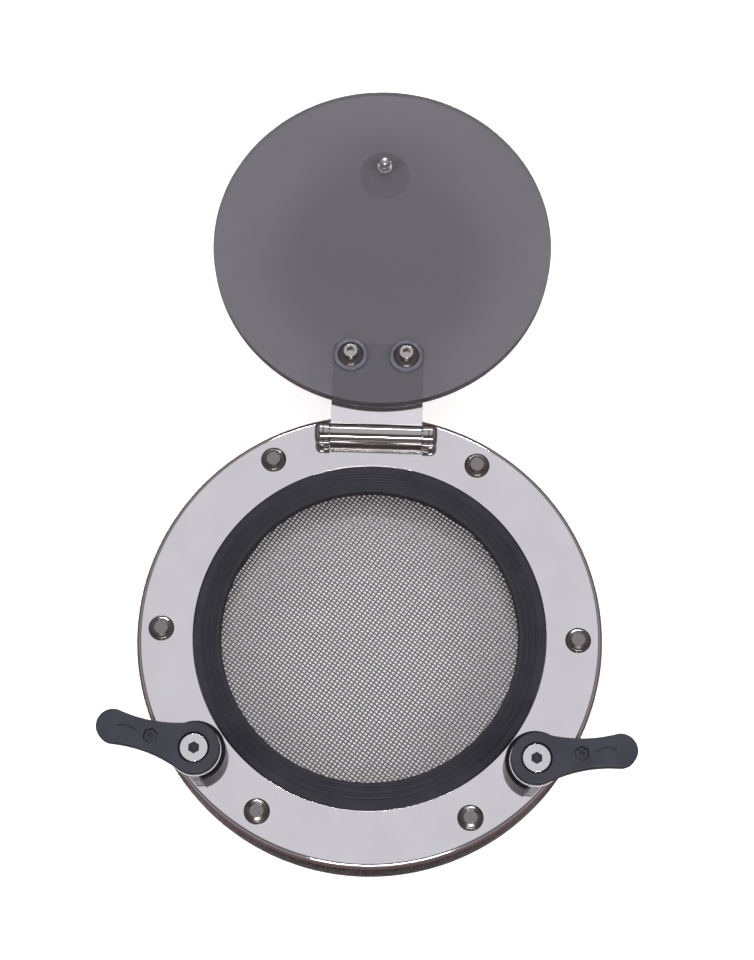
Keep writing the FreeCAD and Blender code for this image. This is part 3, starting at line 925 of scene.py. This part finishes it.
@dataclass
class Lid:
    """Smoked pane with the leaf's fasteners and the knob through it."""

    screw_x: float = 18.3
    screw_down: float = 80.0
    knob_up: float = 56.5
    bush_hole: float = 6.2
    stud_hole: float = 2.7
    bore: float = 3.1
    bush_rim: float = 11.0
    screw_head: float = 4.7
    facets: int = 288

    def __post_init__(self) -> None:
        """Read where the pane lies."""
        self.span = Span.of("lid_pane")
        self.centre = self.span.middle
        self.top = self.span.high.z
        self.screws = [(side * self.screw_x, self.centre.y - self.screw_down) for side in (-1, 1)]
        self.knob_at = (0.0, self.centre.y + self.knob_up)

    def pane(self) -> None:
        """Round pane with polished chamfers and its three holes."""
        radius, low = self.span.size.x / 2, self.span.low.z
        bm = bmesh.new()
        edges = loop_of(bm, ring(self.centre.xy, radius, self.facets), low)
        for at, size in ((self.screws[0], self.bush_hole), (self.screws[1], self.bush_hole),
                         (self.knob_at, self.stud_hole)):
            edges += loop_of(bm, ring(at, size, 48), low)
        bmesh.ops.triangle_fill(bm, use_beauty=True, use_dissolve=False, edges=edges)
        raised(bm, (0, 0, self.span.size.z))
        bmesh.ops.recalc_face_normals(bm, faces=bm.faces)
        softened(bm, 0.7, 2, only=lambda e: all(
            (v.co.xy - self.centre.xy).length > radius - 0.1 for v in e.verts))
        piece("smoked_pane", SMOKED_ACRYLIC, Body.LID, ["lid_pane"], bm)

    def at_screws(self, name: str, finish: Finish, node: str,
                  shape: Callable[[], Shape]) -> None:
        """One shape at both leaf screws."""
        piece(name, finish, Body.LID, [node],
              *(moved(shape(), upright(at)) for at in self.screws))

    def bush(self) -> Shape:
        """Flanged bush with a raised dish."""
        z, low = self.top, self.span.low.z + 0.1
        return turned(rounded([(self.bore, low, 0), (6.1, low, 0),
                               (6.1, z, 0), (self.bush_rim, z, 0),
                               (self.bush_rim, z + 1.7, 0.7),
                               (9.6, z + 2.1, 0.5), (8.4, z + 2.1, 0.3), (8.1, z + 0.8, 0.2),
                               (self.bore, z + 0.8, 0)]), 96, closed=True)

    def cup_washer(self) -> Shape:
        """Raised washer under the screw's head."""
        z = self.top + 0.8
        return turned(rounded([(self.bore, z, 0), (7.9, z, 0), (7.9, z + 0.6, 0.3),
                               (6.9, z + 1.35, 0.5), (5.3, z + 1.8, 0.3),
                               (self.bore, z + 1.8, 0)]), 96, closed=True)

    def socket_screw(self) -> Shape:
        """Socket head cap screw, with its threaded end below.

        Returns:
            The screw.
        """
        seat, end = self.top + 2.6, Span.of("leaf_screws").low.z
        head = seat + 6.2
        body = turned(rounded([(0, head, 0), (self.screw_head, head, 0.55),
                               (self.screw_head, seat, 0.15), (3.0, seat, 0),
                               (3.0, end + 0.4, 0), (2.6, end, 0), (0, end, 0)]), 72)
        return pocketed(merged_cap(body, head), head, [(hexagon(5.0, 15), 3.2)])

    def leaf_nut(self) -> Shape:
        """Domed hexagon nut, turned down when the lid is open.

        Returns:
            The nut.
        """
        top = self.span.low.z - LEAF_THICK
        nut = hex_nut(10.0, top - 4.6, top, 30)
        dome = turned(rounded([(0, top - 9, 0), (3.4, top - 8.3, 1.5), (4.7, top - 4.5, 0),
                               (0, top - 4.5, 0)]), 48)
        return joined(nut, dome)

    def knob(self) -> None:
        """Black mushroom knob on the outer face."""
        z, low = self.span.low.z, Span.of("knob").low.z
        profile = rounded([(2.6, z, 0), (9.0, z, 0.4), (9.0, z - 2.4, 2.0), (16.9, z - 6.4, 1.0),
                           (17.0, z - 9.5, 2.0), (13.4, low + 1.4, 6.0), (0, low, 0)], 8)
        piece("lid_knob", BLACK_PLASTIC, Body.LID, ["knob"],
              moved(turned([(0, z), *profile[1:]], 96), upright(self.knob_at)))

    def knob_fixing(self) -> None:
        """Washer and acorn nut on the sealing face."""
        seat, crown = self.top + 1.0, Span.of("knob_nut").high.z
        place = upright(self.knob_at)
        washer = turned(rounded([(self.stud_hole, self.top, 0), (5.0, self.top, 0.1),
                                 (5.0, seat, 0.3), (self.stud_hole, seat, 0)], 3), 72,
                        closed=True)
        dome = turned(rounded([(0, crown, 0), (3.75, crown - 0.2, 3.4), (3.75, seat + 4.3, 0),
                               (0, seat + 4.3, 0)], 10), 72)
        piece("knob_fixing_washer", BOLT_STEEL, Body.LID, ["knob_washer"], moved(washer, place))
        piece("knob_acorn_nut", BOLT_STEEL, Body.LID, ["knob_nut"],
              moved(joined(hex_nut(8.0, seat, seat + 4.4, 20), dome), place))

    def build(self) -> None:
        """Build the lid."""
        self.pane()
        self.at_screws("leaf_bush_pair", NYLON, "leaf_bushes", self.bush)
        self.at_screws("cup_washer_pair", CUP_PLASTIC, "leaf_cup_washers", self.cup_washer)
        self.at_screws("socket_screw_pair", SCREW_STEEL, "leaf_screws", self.socket_screw)
        self.at_screws("leaf_nut_pair", BOLT_STEEL, "leaf_nuts", self.leaf_nut)
        self.knob()
        self.knob_fixing()


# ---- dogs


class Side(Enum):
    """The two dogs."""

    LEFT = "left"
    RIGHT = "right"

    @property
    def body(self) -> Body:
        """The body of this side's lever."""
        return Body.LEFT_DOG if self is Side.LEFT else Body.RIGHT_DOG

    @property
    def pivot(self) -> list[float]:
        """Centre of this side's bolt, read from the frame's joints."""
        return joint_point(f"dog_{self.value}_turn")[:2]


HEADINGS = {Side.LEFT: 166.5, Side.RIGHT: 7.0}  # degrees from +X to each lever at rest


@dataclass
class Dog:
    """A turning clamp: foot, washer, waisted lever, bolt and pressing screw."""

    side: Side
    heading: float
    foot_radius: float = 19.0
    foot_flat: float = 6.5
    root: float = 16.0
    tip: float = 10.5
    reach: float = 52.5
    waist: float = 88.0
    press_at: float = 28.0
    recess: float = 9.8
    recess_depth: float = 3.6
    pocket: float = 8.4
    pocket_depth: float = 4.4
    mark_at: Point = (43.5, -8.4)
    mark_depth: float = 0.8
    shank: float = 2.5
    pad: float = 5.5

    @property
    def place(self) -> Matrix:
        """Where the lever lies."""
        return upright(self.side.pivot, self.heading)

    def named(self, what: str) -> str:
        """A name with this dog's side on its end."""
        return f"{what}_{self.side.value}"

    def outline(self) -> list[Point]:
        """Two round ends joined by hollow flanks.

        Returns:
            The points, counter-clockwise.
        """
        a, b = self.root + self.waist, self.tip + self.waist
        s = (self.reach ** 2 + a ** 2 - b ** 2) / (2 * self.reach)
        h = math.sqrt(a ** 2 - s ** 2)
        heel, nose = math.atan2(h, s), math.atan2(h, s - self.reach)
        upper = arc((0, 0), self.root, heel, 2 * math.pi - heel, 44)
        lower = arc((s, -h), self.waist, math.pi - heel, math.pi - nose, 28)[1:-1]
        end = arc((self.reach, 0), self.tip, -nose, nose, 36)
        top = arc((s, h), self.waist, math.pi + nose, math.pi + heel, 28)[1:-1]
        return upper + lower + end + top

    def mark(self) -> list[Point]:
        """A plain curved mark near the tip, bowed towards the hinge on both levers.

        Returns:
            The points of its rim.
        """
        outer = arc(self.mark_at, 11.2, math.radians(124), math.radians(56), 14)
        inner = arc(self.mark_at, 10.1, math.radians(58), math.radians(122), 14)
        bow = 1 if self.side is Side.RIGHT else -1
        return [(x, bow * y) for x, y in outer + inner]

    def lever(self) -> None:
        """Lever with rounded top edges, bolt recess, hexagon pocket and mark."""
        span = Span.of(self.named("dog_lever"))
        low, high = span.low.z, span.high.z
        bm = slab(self.outline(), low, high)
        softened(bm, 1.2, 4, only=lying_at(high))
        softened(bm, 0.5, 2, only=lying_at(low))
        pocketed(bm, high, [(ring((0, 0), self.recess, 96), self.recess_depth),
                            (hexagon(self.pocket, 30, (self.press_at, 0)), self.pocket_depth),
                            (self.mark(), self.mark_depth)])
        piece(self.named("lever"), LEVER_NYLON, self.side.body, [self.named("dog_lever")],
              moved(bm, self.place))

    def press(self) -> None:
        """Pressing screw in its pocket and the pad below."""
        screw, pad = Span.of(self.named("press_screw")), Span.of(self.named("press_pad"))
        place = self.place @ Matrix.Translation((self.press_at, 0, 0))
        low, high = screw.low.z, screw.high.z
        head = pocketed(hex_nut(7.9, high - 3, high, 30), high, [(hexagon(3.2), 1.6)])
        shank = turned([(0, low), (self.shank, low), (self.shank, high - 2.9), (0, high - 2.9)],
                       48)
        piece(self.named("pressing_screw"), BLACK_STEEL, self.side.body,
              [self.named("press_screw")], moved(joined(head, shank), place))
        low, high = pad.low.z, pad.high.z
        cushion = turned(rounded([(0, low, 0), (self.pad, low, 1.1), (self.pad, high, 0.5),
                                  (2.55, high, 0), (2.55, high - 2, 0), (0, high - 2, 0)]), 48)
        piece(self.named("pressing_pad"), SEAL_RUBBER, self.side.body,
              [self.named("press_pad")], moved(cushion, place))

    def foot(self) -> None:
        """D-shaped foot beside the flange's rim."""
        high = Span.of(self.named("dog_foot")).high.z
        half = math.acos(self.foot_flat / self.foot_radius)
        bm = slab(arc((0, 0), self.foot_radius, half, 2 * math.pi - half, 72), 0, high)
        softened(bm, 0.9, 3, only=lying_at(high))
        x, y = self.side.pivot
        piece(self.named("foot"), BLACK_PLASTIC, Body.FRAME, [self.named("dog_foot")],
              moved(bm, upright((x, y), math.degrees(math.atan2(y, x)))))

    def build(self) -> None:
        """Build this dog's own pieces."""
        self.foot()
        self.lever()
        self.press()


@dataclass
class DogHardware:
    """Washers and bolts that both dogs share."""

    head: float = 8.8
    shank: float = 4.0
    socket: float = 6.6
    socket_depth: float = 2.7
    seat: float = 22.8
    washer_bore: float = 4.2
    washer_rim: float = 16.4

    def washer(self) -> Shape:
        """Wide flat washer between foot and lever.

        Returns:
            The washer.
        """
        span = Span.of("dog_washers")
        low, high = span.low.z, span.high.z
        return turned(rounded([(self.washer_bore, low, 0), (self.washer_rim, low, 0.2),
                               (self.washer_rim, high, 0.5), (self.washer_bore, high, 0)], 4),
                      120, closed=True)

    def bolt(self) -> Shape:
        """Wide flat head with a hexagon socket.

        Returns:
            The bolt.
        """
        span = Span.of("dog_bolts")
        top, end = span.high.z, span.low.z
        body = turned(rounded([(0, top, 0), (self.head, top, 0.45), (self.head, 23.2, 0.3),
                               (8.0, self.seat, 0), (self.shank, self.seat, 0),
                               (self.shank, end, 0), (0, end, 0)]), 96)
        return pocketed(merged_cap(body, top), top,
                        [(hexagon(self.socket, 30), self.socket_depth)])

    def build(self) -> None:
        """Set both shapes at both pivots."""
        for name, finish, node, shape in (
                ("pivot_washers", WASHER_PLASTIC, "dog_washers", self.washer),
                ("pivot_bolts", BOLT_STEEL, "dog_bolts", self.bolt)):
            piece(name, finish, Body.FRAME, [node],
                  *(moved(shape(), upright(side.pivot)) for side in Side))


# ---- studio


@dataclass(frozen=True)
class SoftLight:
    """One soft panel aimed at the hatch."""

    name: str
    azimuth: float
    height: float
    distance: float
    size: tuple[float, float]
    power: float
    tint: Triple = (1.0, 0.99, 0.98)
    mirrored: bool = True

    def hang(self, aim: Vector) -> None:
        """Hang the panel and turn it to the hatch.

        Args:
            aim: the point it faces, in metres.
        """
        lamp = bpy.data.lights.new(self.name, "AREA")
        lamp.shape = "RECTANGLE"
        lamp.size, lamp.size_y = self.size
        lamp.energy = self.power
        lamp.color = self.tint
        made = placed(self.name, lamp)
        made.visible_glossy = self.mirrored
        turn, rise = math.radians(self.azimuth), math.radians(self.height)
        away = Vector((math.sin(turn) * math.cos(rise), -math.cos(turn) * math.cos(rise),
                       math.sin(rise)))
        made.location = aim + away * self.distance
        made.rotation_euler = (-away).to_track_quat("-Z", "Y").to_euler()


@dataclass(frozen=True)
class Viewpoint:
    """Camera above the hatch, leaning towards the dogs' side; angles in degrees."""

    distance: float = 1400.0
    tilt: float = 13.5147
    swing: float = 0.7609
    roll: float = 1.8992
    rise: float = 4.04
    slip: float = -0.195
    lens: float = 81.9

    def place(self) -> None:
        """Create the camera and make it the scene's."""
        tilt, swing = math.radians(self.tilt), math.radians(self.swing)
        away = Vector((math.sin(swing), -math.sin(tilt) * math.cos(swing),
                       math.cos(tilt) * math.cos(swing)))
        right = (-away).cross(Vector((0, 1, 0))).normalized()
        up = right.cross(-away)
        upright_view = Matrix((right, up, away)).transposed()
        turns = (Matrix.Rotation(math.radians(self.roll), 3, "Z")
                 @ Matrix.Rotation(math.radians(self.slip), 3, "Y")
                 @ Matrix.Rotation(math.radians(self.rise), 3, "X"))
        lens = bpy.data.cameras.new("bench_camera")
        lens.lens, lens.sensor_width, lens.sensor_fit = self.lens, 36.0, "AUTO"
        lens.clip_start, lens.clip_end = 0.05, 30.0
        made = placed("bench_camera", lens)
        made.matrix_world = (Matrix.Translation(away * self.distance / METRE)
                             @ (upright_view @ turns).to_4x4())
        bpy.context.scene.camera = made


@dataclass
class Studio:
    """Plain pale floor, a soft sky with dark sides, panels and the camera."""

    floor_half: float = 25.0
    floor_tone: float = 0.93
    floor_glow: float = 0.28
    floor_gap: float = 0.0001
    aim: Triple = (0, 0.1, 0)
    window: float = 13.5
    overhead: Sequence[tuple[float, Triple]] = (
        (0.0, (0, 0, 0)), (0.86, (0, 0, 0)), (0.925, (0.58, 0.58, 0.63)),
        (1.0, (0.63, 0.635, 0.68)))
    walls: Sequence[tuple[float, Triple]] = (
        (0.0, (0.17, 0.105, 0.098)), (0.07, (0.17, 0.112, 0.105)), (0.20, (0.25, 0.235, 0.24)),
        (0.60, (0.31, 0.30, 0.31)), (0.78, (0.13, 0.105, 0.10)))
    panels: Sequence[SoftLight] = (
        SoftLight("left_panel", -84, 46, 2.2, (1.2, 0.8), 44, mirrored=False),
        SoftLight("right_panel", 84, 46, 2.2, (1.2, 0.8), 44, mirrored=False),
        SoftLight("front_panel", 5, 40, 2.4, (1.4, 0.12), 30),
        SoftLight("back_panel", 180, 44, 2.4, (1.4, 0.10), 14),
    )

    def floor(self) -> None:
        """Pale floor just under the outer flange, left out of mirror reflections."""
        bm = bmesh.new()
        bmesh.ops.create_grid(bm, x_segments=2, y_segments=2, size=self.floor_half,
                              matrix=Matrix.Translation((0, 0, CAD_BOX[0].z - self.floor_gap)))
        mesh = bpy.data.meshes.new("studio_floor")
        bm.to_mesh(mesh)
        bm.free()
        made = placed("studio_floor", mesh)
        made.visible_glossy = False
        bench, tone = ShaderBench("pale_floor"), (self.floor_tone,) * 3
        bench.set(Base_Color=bench.blend(bench.cloud(bench.surface(), 2.0), tone,
                                         tuple(t * 1.02 for t in tone)),
                  Roughness=1.0, Specular_IOR_Level=0.0, Emission_Color=(1, 1, 1, 1),
                  Emission_Strength=self.floor_glow)
        mesh.materials.append(bench.material)

    def sky_dome(self) -> None:
        """World whose tone goes from dark at the sides to pale overhead."""
        world = bpy.data.worlds.new("soft_sky")
        bpy.context.scene.world = world
        world.use_nodes = True
        tree = world.node_tree
        where = tree.nodes.new("ShaderNodeTexCoord")
        turn = math.radians(self.window)
        both = tree.nodes.new("ShaderNodeMix")
        both.data_type, both.blend_type = "RGBA", "ADD"
        both.inputs["Factor"].default_value = 1.0
        for stops, axis, into in ((self.overhead, (0, math.sin(turn), math.cos(turn)), "A"),
                                  (self.walls, (0, 0, 1), "B")):
            lean = tree.nodes.new("ShaderNodeVectorMath")
            lean.operation = "DOT_PRODUCT"
            lean.inputs[1].default_value = axis
            ramp = tree.nodes.new("ShaderNodeValToRGB")
            marks = ramp.color_ramp.elements
            while len(marks) < len(stops):
                marks.new(0.5)
            for mark, (place, tone) in zip(marks, stops):
                mark.position = place
                mark.color = (*tone, 1)
            tree.links.new(where.outputs["Generated"], lean.inputs[0])
            tree.links.new(lean.outputs["Value"], ramp.inputs["Fac"])
            tree.links.new(ramp.outputs["Color"], both.inputs[into])
        tree.links.new(both.outputs["Result"], tree.nodes["Background"].inputs["Color"])

    def build(self) -> None:
        """Set up floor, sky, panels and camera."""
        bpy.context.scene.view_settings.view_transform = "Standard"
        self.floor()
        self.sky_dome()
        for panel in self.panels:
            panel.hang(Vector(self.aim))
        Viewpoint().place()


def write_sizes() -> None:
    """Bring the view layer up to date."""
    bpy.context.view_layer.update()


def main() -> None:
    """Build the hatch, then the studio."""
    logging.basicConfig(level=logging.INFO, format="%(name)s: %(message)s")
    Flanges().build()
    LidSeal().build()
    InsectScreen().build()
    BarrelNuts().build()
    Hinge().build()
    Lid().build()
    for side, heading in HEADINGS.items():
        Dog(side, heading).build()
    DogHardware().build()
    Studio().build()
    write_sizes()


if __name__ == "__main__":
    main()
